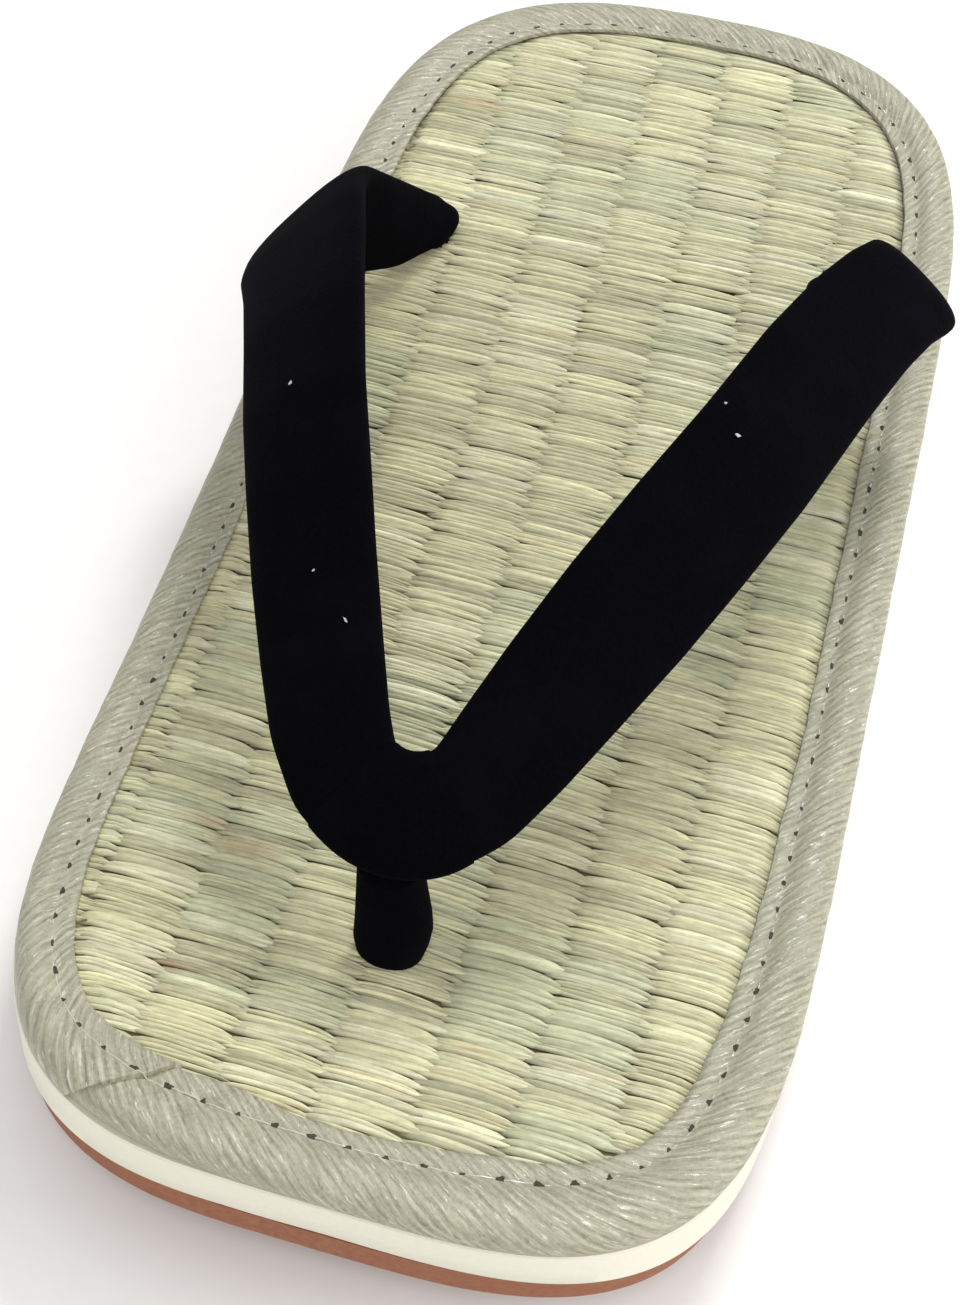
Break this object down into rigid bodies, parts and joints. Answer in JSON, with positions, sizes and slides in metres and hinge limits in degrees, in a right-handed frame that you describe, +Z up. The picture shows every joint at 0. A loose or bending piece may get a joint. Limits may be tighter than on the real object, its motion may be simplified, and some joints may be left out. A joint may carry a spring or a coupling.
{
  "type": "thong sandal",
  "caption": "Flat woven-rush thong sandal with a cloth-bound edge, a layered foam sole and padded velvet straps meeting over a post between the toes.",
  "frame": {"origin": "on the floor under the middle of the tread, on the centre line", "axes": "+Y toward the heel, toe at -Y, +Z up"},
  "size_m": [0.1057, 0.2549, 0.058],
  "materials": {
    "outsole": "brown foam rubber, matt",
    "midsole": "white foam, matt",
    "rush_mat": "woven rush, low sheen",
    "edge_binding": "ribbed cloth tape, satin",
    "straps": "black velvet",
    "front_post": "black velvet"
  },
  "bodies": {
    "root": {"outsole": "outsole", "midsole": "midsole", "rush_mat": "rush_mat", "edge_binding": "edge_binding", "straps": "straps", "front_post": "front_post"}
  },
  "joints": []
}
